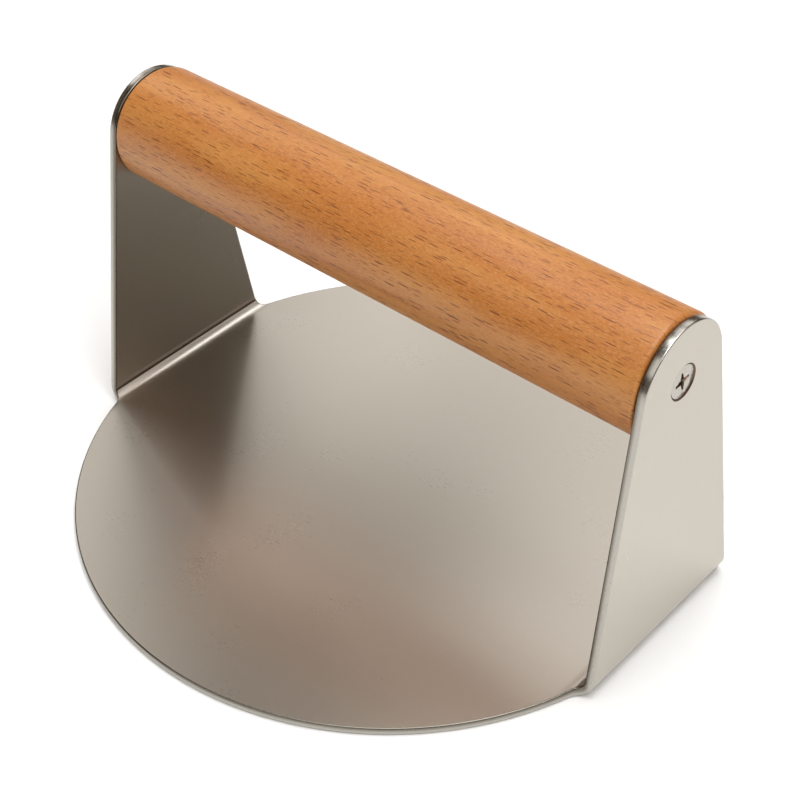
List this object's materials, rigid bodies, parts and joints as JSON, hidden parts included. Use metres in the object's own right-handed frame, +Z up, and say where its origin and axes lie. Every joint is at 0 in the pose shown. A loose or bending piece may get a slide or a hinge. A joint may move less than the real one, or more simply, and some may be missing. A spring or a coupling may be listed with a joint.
{
  "type": "patty press",
  "caption": "Round flat stainless press plate with two ears folded up from the same sheet and a wooden dowel handle screwed between them.",
  "frame": {"origin": "middle of the underside of the round plate, which rests on the food or the table", "axes": "+Z up from the pressing face, X along the handle from ear to ear, Y across the handle"},
  "size_m": [0.1384, 0.14, 0.0773],
  "materials": {
    "press_steel": "line-brushed stainless steel sheet, deburred edges",
    "handle_wood": "beech dowel, sanded and oiled",
    "screw_steel": "plain stainless steel"
  },
  "bodies": {
    "root": {"press_body": "press_steel", "handle": "handle_wood", "screw_left": "screw_steel", "screw_right": "screw_steel"}
  },
  "joints": []
}
